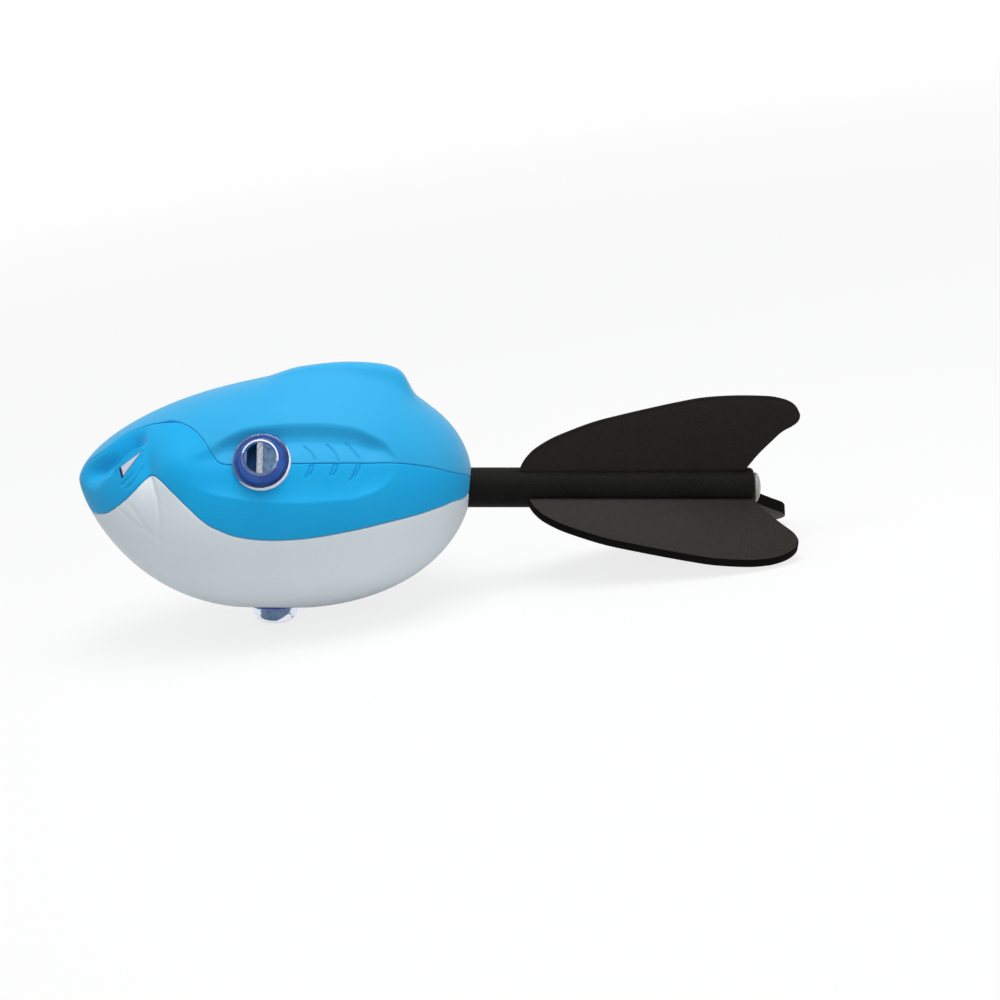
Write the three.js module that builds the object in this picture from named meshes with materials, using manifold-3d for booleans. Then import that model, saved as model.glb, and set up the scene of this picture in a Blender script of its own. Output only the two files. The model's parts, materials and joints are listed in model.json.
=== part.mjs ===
import * as THREE from 'three';
import { mergeVertices } from 'three/addons/utils/BufferGeometryUtils.js';
import Module from 'manifold-3d';

// A vortex throwing toy: a soft foam shark's head with three whistles that sound in flight,
// on a stiffened foam tail tube with three foam fins.
// Millimetres, +Z up. Each piece is drawn in the toy's own axes: the nose is at the origin,
// the tail tube runs along +X, the dorsal fin is up and the toy's left side faces -Y.
// The finished toy then leans as it rests, on its belly whistle and its two lower fins.

// Head: one outer form, moulded as a crown, two cheeks joined by the snout, and a belly
const headLength = 153;
const headWidth = 89;
const crownRise = 44;
const bellyDrop = 47.6;
const noseRise = 3.3;
const cheekWebWall = 1.5;

// Dorsal fin, moulded with the crown
const dorsalLength = 61;
const dorsalRise = 51.6;
const dorsalRootDepth = 24;
const dorsalThickness = 11;
const dorsalEdgeRadius = 4.5;

// Shallow scoops that the whistles stand in, and the eye sockets
const sideScoopDepth = 2.4;
const bellyScoopDepth = 1.2;
const scoopHalfLength = 36;
const scoopHalfAngle = 21;
const eyeSocketHalfLength = 8;
const eyeSocketDepth = 1.6;
const eyeAngle = 38;
const eyeHalfAngle = 18;

// Whistles, one each side and one in the belly, their flanges let into the foam
const sideWhistleAngle = 30;
const bellyWhistleAngle = -90;
const flangeInset = 0.3;

// Whistle dome: a clear cap with a rim round its window
const flangeRadius = 11.2;
const flangeThickness = 1;
const domeRadius = 10.1;
const domeHeight = 7.8;
const domeWall = 0.9;
const rimRadius = 7;
const windowRadius = 5.9;

// Whistle cup: the sound chamber, sunk in the foam
const cupRadius = 9.4;
const cupDepth = 16;
const cupWall = 1.2;
const deckThickness = 1.4;
const throatRadius = 4.6;

// Whistle mouth: the insert with the blowing slot, the lip and the ramp behind it
const mouthFootRadius = 7.6;
const mouthFootThickness = 0.8;
const mouthRecess = 0.7;
const slotWall = 0.6;
const slotWidth = 3.6;
const lipWidth = 2.7;
const rampDrop = 2.6;

// Tail: foam sleeve over a plastic core tube, closed by an end plug
const sleeveRadius = 7.8;
const sleeveLength = 129.6;
const sleeveSocketDepth = 20;
const coreRadius = 5;
const coreWall = 1.2;
const coreSocketDepth = 60;
const plugRadius = 5.85;
const plugBulge = 2.5;
const plugStemLength = 8;

// Fins: cut from sheet foam, each root glued into a groove of the sleeve. The two lower ones
// start further back and have shorter tips.
const finStation = 171.7;
const finRootLength = 86;
const finLength = 107.9;
const finReach = 36.5;
const finThickness = 4.8;
const finGrooveDepth = 1.4;
const finDroop = 36.3;
const lowerFinSetback = 3.3;
const lowerFinTrim = 5;

// Clearance between pieces that touch, and the overrun of every cutter
const fitGap = 0.3;
const overrun = 2;

// Fineness of the curved faces
const headRings = 38;
const headSegments = 48;
const roundSegments = 28;
const slotSegments = 9;
const shoulderSteps = 4;
const jointSteps = 42;

// Places along the head, as shares of its length from the nose
const whistleShare = 0.49;
const scoopShare = 0.59;
const eyeShare = 0.15;
const dorsalShare = 0.458;

// Where along the head it is highest and deepest, and how full each end of its outline is
const crownShape = { peakShare: 0.56, noseFall: [1.6, 0.6], tailFall: [2.5, 0.5] };
const bellyShape = { peakShare: 0.5, noseFall: [2.5, 0.74], tailFall: [2.25, 0.5] };

// Each row: share of the head's length from the nose, then degrees round its section
const crownJointShares = [
  [0.004, 88], [0.012, 78], [0.047, 66], [0.08, 65], [0.12, 71.5], [0.15, 72], [0.2, 70.4],
  [0.25, 66.4], [0.28, 63.5], [0.306, 57.8], [0.334, 50.1], [0.348, 45.2], [0.357, 40.3],
  [0.372, 34], [0.39, 32], [0.54, 29.8], [0.88, 28.7], [0.959, 24.9], [1, 22],
];
const bellyJointShares = [
  [0.022, -88], [0.033, -58], [0.05, -32], [0.067, -19.5], [0.099, -4.7], [0.143, 11],
  [0.184, 24.2], [0.202, 29.1], [0.212, 29.7], [0.237, 26.2], [0.276, 17.5], [0.339, 4.3],
  [0.388, -1.5], [0.461, -5.8], [0.535, -7], [0.705, -5], [0.95, -2], [1, -8],
];

// Outline of the dorsal fin as shares of its length and of its rise above the tube's axis
const dorsalCrestShares = [[0, 0.8], [0.14, 0.905], [0.3, 0.965], [0.55, 1], [0.77, 0.985]];
const dorsalTipShares = [[0.9, 0.925], [0.935, 0.87], [0.965, 0.8], [1.0, 0.72]];

// Outline of a fin as shares of its length and of its reach from the tube's axis
const finLeadShares = [
  [0, 0.2], [0.022, 0.32], [0.054, 0.41], [0.11, 0.52], [0.216, 0.655], [0.36, 0.785],
  [0.5, 0.883], [0.645, 0.962], [0.79, 1], [0.883, 0.984],
];
const finTipShares = [[0.95, 0.94], [0.985, 0.885], [1, 0.82], [0.99, 0.767], [0.937, 0.614]];
const finTrailShares = [[0.902, 0.529], [0.866, 0.416], [0.833, 0.318], [0.797, 0.226]];
const finTipShare = 0.88;

const foamBlue = 0x4fb4e8;
const foamWhite = 0xe2e6e6;
const foamBlack = 0x191816;
const finBlack = 0x24221f;
const clearPlastic = 0xdfe8f2;
const deepBlue = 0x2a3f96;
const slateGrey = 0x4a5a70;
const corePlastic = 0x8f8b88;

const wasm = await Module();
wasm.setup();

// Solid from a closed three.js geometry
function solidOf(geometry) {
  const bare = geometry.index ? geometry.clone() : geometry;
  bare.deleteAttribute('normal');
  bare.deleteAttribute('uv');
  const merged = mergeVertices(bare);
  const mesh = new wasm.Mesh({
    numProp: 3,
    vertProperties: Float32Array.from(merged.attributes.position.array),
    triVerts: Uint32Array.from(merged.index.array),
  });
  return new wasm.Manifold(mesh);
}

function geometryOf(solid) {
  const { vertProperties, triVerts } = solid.getMesh();
  const geometry = new THREE.BufferGeometry();
  geometry.setAttribute('position', new THREE.BufferAttribute(vertProperties, 3));
  geometry.setIndex(new THREE.BufferAttribute(triVerts, 1));
  geometry.computeVertexNormals();
  return geometry;
}

function piece(name, geometry, color, roughness = 0.85) {
  const material = new THREE.MeshStandardMaterial({ color, roughness, metalness: 0 });
  const mesh = new THREE.Mesh(geometry, material);
  mesh.name = name;
  return mesh;
}

// Straight-line value of a table of [share, value] rows
function tableValue(table, share) {
  const next = Math.max(1, table.findIndex(([s]) => s >= share));
  const [[s0, v0], [s1, v1]] = [table[next - 1], table[next]];
  return THREE.MathUtils.mapLinear(share, s0, s1, v0, v1);
}

// How full the head's outline is at a share of its length: 0 at each end, 1 at its peak
function fullness({ peakShare, noseFall, tailFall }, share) {
  const ahead = share < peakShare;
  const span = ahead ? peakShare : 1 - peakShare;
  const [power, root] = ahead ? noseFall : tailFall;
  return (1 - (Math.abs(share - peakShare) / span) ** power) ** root;
}

// Section of the head at a share of its length: centre height, half height and half width
function headSection(share) {
  const top = noseRise + (crownRise - noseRise) * fullness(crownShape, share);
  const bottom = noseRise - (bellyDrop + noseRise) * fullness(bellyShape, share);
  const halfHeight = (top - bottom) / 2;
  const widthShare = headWidth / (crownRise + bellyDrop);
  return { centre: (top + bottom) / 2, halfHeight, halfWidth: halfHeight * widthShare };
}

// 1 in the middle of a rounded patch and 0 outside it
function patch(along, halfLength, turn, halfTurn) {
  const spread = Math.abs(along / halfLength) ** 3 + Math.abs(turn / halfTurn) ** 3;
  return 1 - THREE.MathUtils.smoothstep(spread, 0.3, 1);
}

// How deep the head's surface is dished at a station, degrees above level on either side
function dishDepth(station, degrees) {
  const side = degrees < -90 ? -180 - degrees : degrees;
  const along = station - scoopShare * headLength;
  const nearSide = patch(along, scoopHalfLength, side - sideWhistleAngle, scoopHalfAngle);
  const belly = patch(along, scoopHalfLength, side - bellyWhistleAngle, scoopHalfAngle);
  const fromEye = station - eyeShare * headLength;
  const eye = patch(fromEye, eyeSocketHalfLength, side - eyeAngle, eyeHalfAngle);
  return sideScoopDepth * nearSide + bellyScoopDepth * belly + eyeSocketDepth * eye;
}

// Point of the head's surface at a share of its length, from 90 degrees at the crown
// down the right side to -90 under the belly and up the left side to -270
function headPoint(share, degrees) {
  const { centre, halfHeight, halfWidth } = headSection(share);
  const angle = THREE.MathUtils.degToRad(degrees);
  const dish = dishDepth(share * headLength, degrees);
  const y = Math.cos(angle) * (halfWidth - dish);
  const z = centre + Math.sin(angle) * (halfHeight - dish);
  return new THREE.Vector3(share * headLength, y, z);
}

// Closed solid through rings of points, each ring capped from its hub
function loft(rings, startHub, endHub) {
  const count = rings[0].length;
  const points = [startHub, ...rings.flat(), endHub];
  const faces = [];
  const at = (ring, k) => 1 + ring * count + (k % count);
  for (let k = 0; k < count; k += 1) {
    faces.push(0, at(0, k), at(0, k + 1));
    faces.push(points.length - 1, at(rings.length - 1, k + 1), at(rings.length - 1, k));
    for (let ring = 0; ring < rings.length - 1; ring += 1) {
      faces.push(at(ring, k), at(ring + 1, k), at(ring + 1, k + 1));
      faces.push(at(ring, k), at(ring + 1, k + 1), at(ring, k + 1));
    }
  }
  const geometry = new THREE.BufferGeometry().setFromPoints(points);
  geometry.setIndex(faces);
  return solidOf(geometry);
}

// Outer form of the head, its rings closer together at the nose and the tail end
function headForm() {
  const rings = [];
  for (let ring = 1; ring < headRings; ring += 1) {
    const share = (1 - Math.cos((Math.PI * ring) / headRings)) / 2;
    const points = [];
    for (let k = 0; k < headSegments; k += 1) {
      points.push(headPoint(share, 90 - (360 * k) / headSegments));
    }
    rings.push(points);
  }
  const nose = new THREE.Vector3(0, 0, noseRise);
  return loft(rings, nose, new THREE.Vector3(headLength, 0, noseRise));
}

// Dorsal fin, drawn from its side and rounded along its edge
function dorsalFin() {
  const dorsalStart = dorsalShare * headLength;
  const place = ([along, up]) => new THREE.Vector2(
    dorsalStart + along * dorsalLength,
    up * dorsalRise - dorsalEdgeRadius,
  );
  const foot = dorsalRise - dorsalRootDepth;
  const outline = new THREE.Shape();
  outline.moveTo(dorsalStart, foot);
  outline.lineTo(...place(dorsalCrestShares[0]));
  outline.splineThru(dorsalCrestShares.slice(1).map(place));
  outline.splineThru(dorsalTipShares.map(place));
  outline.lineTo(dorsalStart + dorsalLength, foot);
  const flatDepth = dorsalThickness - 2 * dorsalEdgeRadius;
  const geometry = new THREE.ExtrudeGeometry(outline, {
    depth: flatDepth,
    curveSegments: 4,
    bevelSize: dorsalEdgeRadius,
    bevelThickness: dorsalEdgeRadius,
    bevelSegments: 4,
  });
  geometry.translate(0, 0, -flatDepth / 2);
  geometry.rotateX(Math.PI / 2);
  return solidOf(geometry);
}

// Middle height of the web between the cheeks, and half its thickness: it holds the tail
// tube well inside the head, and thins and follows the section's centre towards each end
function cheekWeb({ centre, halfHeight }) {
  const halfWeb = sleeveRadius + fitGap + cheekWebWall;
  const thinning = Math.min(1, halfHeight / (2 * halfWeb));
  return { middle: centre * (1 - thinning), half: halfWeb * thinning };
}

// Wedge that parts the head along a joint line: above it for up = 1, below it for up = -1
function jointWedge(jointShares, up, gap) {
  const far = crownRise + bellyDrop;
  const rings = [];
  const hubs = [];
  const [startShare] = jointShares[0];
  for (let step = 0; step <= jointSteps; step += 1) {
    const share = THREE.MathUtils.lerp(startShare, 1, step / jointSteps);
    const section = headSection(share);
    const { centre, halfHeight, halfWidth } = section;
    const angle = THREE.MathUtils.degToRad(tableValue(jointShares, share));
    const web = cheekWeb(section);
    const hub = web.middle + up * web.half;
    const out = Math.cos(angle) * halfWidth;
    const rise = centre + Math.sin(angle) * halfHeight - hub;
    const slope = Math.atan2(rise, out);
    const shift = (up * gap) / 2 / Math.cos(slope);
    const x = share * headLength + (step === jointSteps ? overrun : 0);
    const reachY = far * Math.cos(slope);
    const reachZ = hub + shift + far * Math.sin(slope);
    const corners = [[0, hub + shift], [reachY, reachZ], [reachY, up * 2 * far]];
    corners.push([-reachY, up * 2 * far], [-reachY, reachZ]);
    const ring = corners.map(([y, z]) => new THREE.Vector3(x, y, z));
    rings.push(up > 0 ? ring.reverse() : ring);
    hubs.push(new THREE.Vector3(x, 0, hub + shift + up * far / 2));
  }
  return loft(rings, hubs[0], hubs[hubs.length - 1]);
}

// Turned solid about the toy's long axis, from a station to another
function axialCylinder(radius, from, to) {
  const geometry = new THREE.CylinderGeometry(radius, radius, to - from, roundSegments);
  geometry.rotateZ(Math.PI / 2);
  geometry.translate((from + to) / 2, 0, 0);
  return solidOf(geometry);
}

// Turn about the long axis that points a whistle's own +Z out at an angle above level
function whistleTurn(angle) {
  return THREE.MathUtils.degToRad(angle - 90);
}

// Room in the foam for a whistle: a deep bore for its cup and a shallow one for its flange
function whistlePocket({ angle, seat }) {
  const reach = flangeRadius + domeHeight;
  const bore = (radius, from) => {
    const geometry = new THREE.CylinderGeometry(radius, radius, reach - from, roundSegments);
    geometry.translate(0, (reach + from) / 2, 0);
    geometry.rotateX(Math.PI / 2);
    geometry.translate(0, 0, seat);
    geometry.rotateX(whistleTurn(angle));
    geometry.translate(whistleShare * headLength, 0, 0);
    return solidOf(geometry);
  };
  const cup = bore(cupRadius + fitGap, -cupDepth - 2 * fitGap);
  return cup.add(bore(flangeRadius + fitGap, -fitGap));
}

// Distance from the tube's axis to the floor that a whistle's flange stands on
function whistleSeat(degrees) {
  const surface = headPoint(whistleShare, degrees);
  return Math.hypot(surface.y, surface.z) - flangeInset;
}

const sideWhistleSeat = whistleSeat(sideWhistleAngle);
const bellyWhistleSeat = whistleSeat(bellyWhistleAngle);
const whistles = [
  { side: 'left', angle: 180 - sideWhistleAngle, seat: sideWhistleSeat },
  { side: 'right', angle: sideWhistleAngle, seat: sideWhistleSeat },
  { side: 'belly', angle: bellyWhistleAngle, seat: bellyWhistleSeat },
];

const sleeveStart = headLength - sleeveSocketDepth;
const tailEnd = sleeveStart + sleeveLength;
const coreStart = headLength - coreSocketDepth;

// Head pieces: the outer form with its bores, parted along the two joint lines
function headPieces() {
  let form = headForm().add(dorsalFin());
  form = form.subtract(axialCylinder(coreRadius + fitGap, coreStart - fitGap, headLength));
  const sleeveBore = sleeveRadius + fitGap;
  form = form.subtract(
    axialCylinder(sleeveBore, sleeveStart - fitGap, headLength + overrun),
  );
  for (const whistle of whistles) {
    form = form.subtract(whistlePocket(whistle));
  }
  const crown = form.intersect(jointWedge(crownJointShares, 1, fitGap));
  const belly = form.intersect(jointWedge(bellyJointShares, -1, fitGap));
  const cheeks = form
    .subtract(jointWedge(crownJointShares, 1, -fitGap))
    .subtract(jointWedge(bellyJointShares, -1, -fitGap));
  return [
    piece('head_crown', geometryOf(crown), foamBlue),
    piece('head_cheeks', geometryOf(cheeks), foamBlue),
    piece('head_belly', geometryOf(belly), foamWhite),
  ];
}

// Revolved shape about its own +Z from [radius, height] points
function turned(profile) {
  const points = profile.map(([radius, height]) => new THREE.Vector2(radius, height));
  return new THREE.LatheGeometry(points, roundSegments).rotateX(Math.PI / 2);
}

// Quarter-oval run of profile points from a foot radius at a low height in to a top radius
function shoulder(footRadius, low, topRadius, high) {
  return Array.from({ length: shoulderSteps + 1 }, (unused, k) => {
    const angle = (Math.PI / 2) * (k / shoulderSteps);
    const radius = topRadius + (footRadius - topRadius) * Math.cos(angle);
    return [radius, low + (high - low) * Math.sin(angle)];
  });
}

function whistleDome(name) {
  const outer = shoulder(domeRadius, flangeThickness, rimRadius, domeHeight);
  const inner = shoulder(domeRadius - domeWall, 0, windowRadius, domeHeight - domeWall);
  const profile = [
    [flangeRadius, 0], [flangeRadius, flangeThickness],
    ...outer, [windowRadius, domeHeight], ...inner.reverse(), [flangeRadius, 0],
  ];
  return piece(name, turned(profile), clearPlastic, 0.08);
}

function whistleCup(name) {
  const top = -fitGap;
  const bore = cupRadius - cupWall;
  const floor = top - cupDepth;
  const profile = [
    [0, floor], [cupRadius, floor], [cupRadius, top], [throatRadius, top],
    [throatRadius, top - deckThickness], [bore, top - deckThickness],
    [bore, floor + cupWall], [0, floor + cupWall],
  ];
  return piece(name, turned(profile), deepBlue, 0.3);
}

// Mouth insert: a round post with a D-shaped slot, a lip across it and a ramp behind the lip
function whistleMouth(name) {
  const radius = windowRadius - fitGap;
  const top = domeHeight - mouthRecess;
  const post = solidOf(turned([
    [0, 0], [mouthFootRadius, 0], [mouthFootRadius, mouthFootThickness],
    [radius, mouthFootThickness], [radius, top], [0, top],
  ]));
  const slotRadius = radius - slotWall;
  const lipStart = slotWidth - slotRadius;
  const halfChord = Math.acos(-lipStart / slotRadius);
  const slot = new THREE.Shape();
  slot.absarc(0, 0, slotRadius, Math.PI - halfChord, Math.PI + halfChord, false);
  const slotGeometry = new THREE.ExtrudeGeometry(slot, {
    depth: top + 2 * overrun,
    curveSegments: slotSegments,
    bevelEnabled: false,
  });
  slotGeometry.translate(0, 0, -overrun);
  const rampStart = lipStart + lipWidth;
  const ramp = new THREE.Shape([
    new THREE.Vector2(rampStart, top),
    new THREE.Vector2(radius, top - rampDrop),
    new THREE.Vector2(radius + overrun, top - rampDrop),
    new THREE.Vector2(radius + overrun, top + overrun),
    new THREE.Vector2(rampStart, top + overrun),
  ]);
  const rampGeometry = new THREE.ExtrudeGeometry(ramp, {
    depth: 2 * mouthFootRadius,
    bevelEnabled: false,
  });
  rampGeometry.translate(0, 0, -mouthFootRadius);
  rampGeometry.rotateX(Math.PI / 2);
  const mouth = post.subtract(solidOf(slotGeometry)).subtract(solidOf(rampGeometry));
  return piece(name, geometryOf(mouth), slateGrey, 0.3);
}

function whistle({ side, angle, seat }) {
  const stand = new THREE.Group();
  stand.add(whistleDome(`whistle_${side}_dome`));
  stand.add(whistleCup(`whistle_${side}_cup`));
  stand.add(whistleMouth(`whistle_${side}_mouth`));
  stand.position.z = seat;
  const turn = new THREE.Group();
  turn.add(stand);
  turn.rotation.x = whistleTurn(angle);
  turn.position.x = whistleShare * headLength;
  return turn;
}

// Side view of a fin, its root at the bottom of the sleeve's groove
function finOutline(trim) {
  const trimmed = (along) => (Math.max(0, along - finTipShare) / (1 - finTipShare)) * trim;
  const place = ([along, out]) =>
    new THREE.Vector2(along * finLength - trimmed(along), out * finReach);
  const root = sleeveRadius - finGrooveDepth;
  const outline = new THREE.Shape();
  outline.moveTo(0, root);
  outline.lineTo(...place(finLeadShares[0]));
  outline.splineThru(finLeadShares.slice(1).map(place));
  outline.splineThru(finTipShares.map(place));
  outline.splineThru(finTrailShares.map(place));
  outline.lineTo(finRootLength, root);
  return outline;
}

function fin(name, { angle, station, trim }) {
  const geometry = new THREE.ExtrudeGeometry(finOutline(trim), {
    depth: finThickness,
    curveSegments: 4,
    bevelEnabled: false,
  });
  geometry.translate(0, 0, -finThickness / 2);
  const mesh = piece(name, geometry, finBlack);
  mesh.position.x = station;
  mesh.rotation.x = THREE.MathUtils.degToRad(angle);
  return mesh;
}

const lowerFin = { station: finStation + lowerFinSetback, trim: lowerFinTrim };
const fins = {
  upper: { angle: 90, station: finStation, trim: 0 },
  left: { angle: 180 + finDroop, ...lowerFin },
  right: { angle: -finDroop, ...lowerFin },
};

// Foam sleeve, grooved for the three fins
function tailSleeve() {
  const bore = axialCylinder(coreRadius + fitGap, sleeveStart - overrun, tailEnd + overrun);
  let sleeve = axialCylinder(sleeveRadius, sleeveStart, tailEnd).subtract(bore);
  for (const { angle, station } of Object.values(fins)) {
    const width = finThickness + 2 * fitGap;
    const height = finGrooveDepth + overrun;
    const groove = new THREE.BoxGeometry(finRootLength + 2 * fitGap, height, width);
    const floor = sleeveRadius - finGrooveDepth - fitGap;
    groove.translate(station + finRootLength / 2, floor + height / 2, 0);
    groove.rotateX(THREE.MathUtils.degToRad(angle));
    sleeve = sleeve.subtract(solidOf(groove));
  }
  return piece('tail_sleeve', geometryOf(sleeve), foamBlack, 0.9);
}

function tailCore() {
  const bore = coreRadius - coreWall;
  const tube = axialCylinder(coreRadius, coreStart, tailEnd)
    .subtract(axialCylinder(bore, coreStart - overrun, tailEnd + overrun));
  return piece('tail_core', geometryOf(tube), corePlastic, 0.4);
}

// End plug: a domed head over the sleeve's end and a stem in the core tube
function tailPlug() {
  const stem = coreRadius - coreWall - fitGap;
  const bulge = shoulder(plugRadius, 0, 0, plugBulge);
  const geometry = turned([[0, -plugStemLength], [stem, -plugStemLength], [stem, 0], ...bulge]);
  const mesh = piece('tail_plug', geometry, corePlastic, 0.45);
  mesh.rotation.y = Math.PI / 2;
  mesh.position.x = tailEnd + fitGap;
  return mesh;
}

// Lean at which the lower fins touch the ground that the belly whistle's rim stands on
function restLean() {
  const heelX = whistleShare * headLength + rimRadius;
  const heelDrop = bellyWhistleSeat + domeHeight;
  const droop = THREE.MathUtils.degToRad(finDroop);
  const leans = finOutline(lowerFin.trim).getPoints().map(({ x, y }) => {
    const drop = y * Math.sin(droop) + (finThickness / 2) * Math.cos(droop);
    return Math.atan2(heelDrop - drop, lowerFin.station + x - heelX);
  });
  return Math.min(...leans);
}

const toy = new THREE.Group();
toy.add(...headPieces());
toy.add(...whistles.map(whistle));
toy.add(tailSleeve(), tailCore(), tailPlug());
toy.add(...Object.entries(fins).map(([side, shape]) => fin(`fin_${side}`, shape)));
toy.rotation.y = restLean();

// The origin is under the middle of the resting toy, on the ground
const vortexToy = new THREE.Group();
vortexToy.add(toy);
vortexToy.updateMatrixWorld(true);
const bounds = new THREE.Box3().setFromObject(vortexToy, true);
const middle = bounds.getCenter(new THREE.Vector3());
vortexToy.position.set(-middle.x, -middle.y, -bounds.min.z);
vortexToy.updateMatrixWorld(true);

export default vortexToy;
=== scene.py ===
import json
import math

import bmesh
import bpy
import numpy as np
from mathutils import Matrix, Vector


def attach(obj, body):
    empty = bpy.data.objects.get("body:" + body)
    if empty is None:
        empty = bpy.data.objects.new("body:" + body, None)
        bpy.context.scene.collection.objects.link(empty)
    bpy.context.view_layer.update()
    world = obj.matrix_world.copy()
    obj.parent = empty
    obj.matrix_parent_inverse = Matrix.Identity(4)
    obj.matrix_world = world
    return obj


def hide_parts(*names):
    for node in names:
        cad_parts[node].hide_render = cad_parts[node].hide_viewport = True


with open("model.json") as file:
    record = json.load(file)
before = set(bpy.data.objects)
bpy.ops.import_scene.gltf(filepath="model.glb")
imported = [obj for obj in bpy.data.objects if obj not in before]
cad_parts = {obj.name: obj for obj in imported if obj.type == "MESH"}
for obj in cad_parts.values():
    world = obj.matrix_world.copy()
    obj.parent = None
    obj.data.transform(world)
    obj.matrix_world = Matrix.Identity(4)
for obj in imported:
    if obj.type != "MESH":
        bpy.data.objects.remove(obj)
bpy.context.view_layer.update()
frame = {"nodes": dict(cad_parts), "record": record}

# The toy at rest: it stands on the rim of its belly whistle and on the edges of its two lower
# fins, so its tail slopes down. Every piece is drawn in the toy's own axes, in millimetres: the
# nose at 0, the tail along +X, the dorsal fin up and the left side towards -Y.
MM = 0.001
HEAD_LENGTH, HEAD_WIDTH = 153.0, 89.0
NOSE_HEIGHT, CROWN_HEIGHT, BELLY_DEPTH = 3.3, 44.0, 47.6
CROWN_CURVE = 0.56, (1.6, 0.6), (2.5, 0.5)
BELLY_CURVE = 0.5, (2.5, 0.74), (2.25, 0.5)
WHISTLE_SHARE = 0.49
SIDE_ANGLE, SIDE_DISH = 30, 2.4
BELLY_ANGLE, BELLY_DISH = -90, 1.2
SEAT_SUNK = 0.3
RIM_MIDDLE = 6.45
DOME_HEIGHT = 7.8

belly_rim = next(m for m in frame["record"]["mounts"] if m["name"] == "belly_rim")
rim_axis = belly_rim["axis"]
lean = math.atan2(-rim_axis[0], -rim_axis[2])
rest_turn = Matrix.Rotation(lean, 4, "Y")


def fullness(share, fullest, front, rear):
    """Height of the outline along the head: 0 at both ends and 1 where it is fullest."""
    ahead = 1 - np.abs((share - fullest) / fullest) ** front[0]
    behind = 1 - np.abs((share - fullest) / (1 - fullest)) ** rear[0]
    return np.where(share < fullest, ahead.clip(0) ** front[1], behind.clip(0) ** rear[1])


def head_section(station):
    """Centre height, half height and half width of the head's section at a station."""
    share = np.clip(station / HEAD_LENGTH, 0, 1)
    top = NOSE_HEIGHT + (CROWN_HEIGHT - NOSE_HEIGHT) * fullness(share, *CROWN_CURVE)
    bottom = NOSE_HEIGHT - (BELLY_DEPTH + NOSE_HEIGHT) * fullness(share, *BELLY_CURVE)
    half = (top - bottom) / 2
    return (top + bottom) / 2, half, half * HEAD_WIDTH / (CROWN_HEIGHT + BELLY_DEPTH)


def whistle_seat(angle, dish):
    """Distance from the tube's axis to the floor that a whistle's flange stands on."""
    centre, half, width = head_section(np.float64(WHISTLE_SHARE * HEAD_LENGTH))
    turn = math.radians(angle)
    return math.hypot(math.cos(turn) * (width - dish),
                      centre + math.sin(turn) * (half - dish)) - SEAT_SUNK


side_seat = whistle_seat(SIDE_ANGLE, SIDE_DISH)
belly_seat = whistle_seat(BELLY_ANGLE, BELLY_DISH)
rim_point = Vector((WHISTLE_SHARE * HEAD_LENGTH + RIM_MIDDLE, 0, -belly_seat - DOME_HEIGHT))
rim_place = Vector(belly_rim["pos_m"])
toy_place = Matrix.Translation(rim_place - rest_turn @ (rim_point * MM)) @ rest_turn
toy_scale = toy_place @ Matrix.Scale(MM, 4)

# Camera: a long lens facing the toy's left side, raised 17 degrees, with the tail level in the
# picture.
CAMERA_RAISE = math.radians(17)
CAMERA_DISTANCE = 920
AIM_ALONG, AIM_UP = 163.9, -4.95
aim = Vector((AIM_ALONG, AIM_UP * math.sin(CAMERA_RAISE), AIM_UP * math.cos(CAMERA_RAISE)))
back = Vector((0, -math.cos(CAMERA_RAISE), math.sin(CAMERA_RAISE)))
camera_data = bpy.data.cameras.new("camera")
camera_data.sensor_width = 36
camera_data.lens = 84.9
camera = bpy.data.objects.new("camera", camera_data)
bpy.context.collection.objects.link(camera)
camera_turn = Matrix.Rotation(math.pi / 2 - CAMERA_RAISE, 4, "X")
camera_place = Matrix.Translation((aim + CAMERA_DISTANCE * back) * MM)
camera.matrix_world = toy_place @ camera_place @ camera_turn
bpy.context.scene.camera = camera

# Head crown: the upper part of the moulded head, soft polyurethane foam under a thin blue
# skin, with the dorsal fin moulded in one with it. It is glued to the cheeks along a wavy
# joint line that rises from the nose, drops behind the eye and runs back along the side.
SEAM = [
    (0.004, 90), (0.012, 80), (0.028, 70), (0.047, 64.6), (0.073, 64.3), (0.105, 68.2),
    (0.117, 71), (0.144, 72.2), (0.171, 71.6), (0.197, 70.6), (0.224, 68.4), (0.251, 66),
    (0.278, 62.6), (0.292, 60), (0.306, 57), (0.320, 53.6), (0.334, 49.6), (0.348, 45),
    (0.357, 41.4), (0.365, 38.1), (0.373, 35.4), (0.381, 33.6), (0.395, 32.4), (0.419, 31.8),
    (0.566, 30), (0.79, 29.5), (0.874, 28.9), (0.923, 27.5), (0.959, 26), (1.0, 27),
]
BELLY_EDGE = [
    (0.022, -90), (0.026, -72), (0.033, -56.5), (0.050, -31.7), (0.067, -19.4), (0.084, -11.2),
    (0.099, -4.7), (0.114, 1.4), (0.129, 6.6), (0.143, 11), (0.157, 15.5), (0.171, 19.9),
    (0.184, 24.2), (0.194, 27.3), (0.202, 29.0), (0.210, 29.6), (0.223, 28.5), (0.237, 26.2),
    (0.250, 23.5), (0.263, 20.3), (0.276, 17.5), (0.289, 14.5), (0.314, 9.2), (0.339, 4.3),
    (0.363, 0.8), (0.388, -1.5), (0.412, -3.6), (0.437, -4.9), (0.461, -5.8), (0.486, -6.5),
    (0.535, -7), (0.584, -6.8), (0.705, -5), (0.826, -3.4), (0.898, -3.3), (0.95, -4.2),
    (0.965, -6), (0.98, -12), (1.0, -20),
]
SCOOP_TOP = [(46, 36), (55.4, 41), (59, 45), (64.6, 48.4), (70.2, 50.2), (96.5, 50.2),
             (104, 49.3), (109.6, 48.3), (113.3, 46.3), (117.1, 44), (120.8, 41), (124.6, 34),
             (127, 30.5)]
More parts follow.
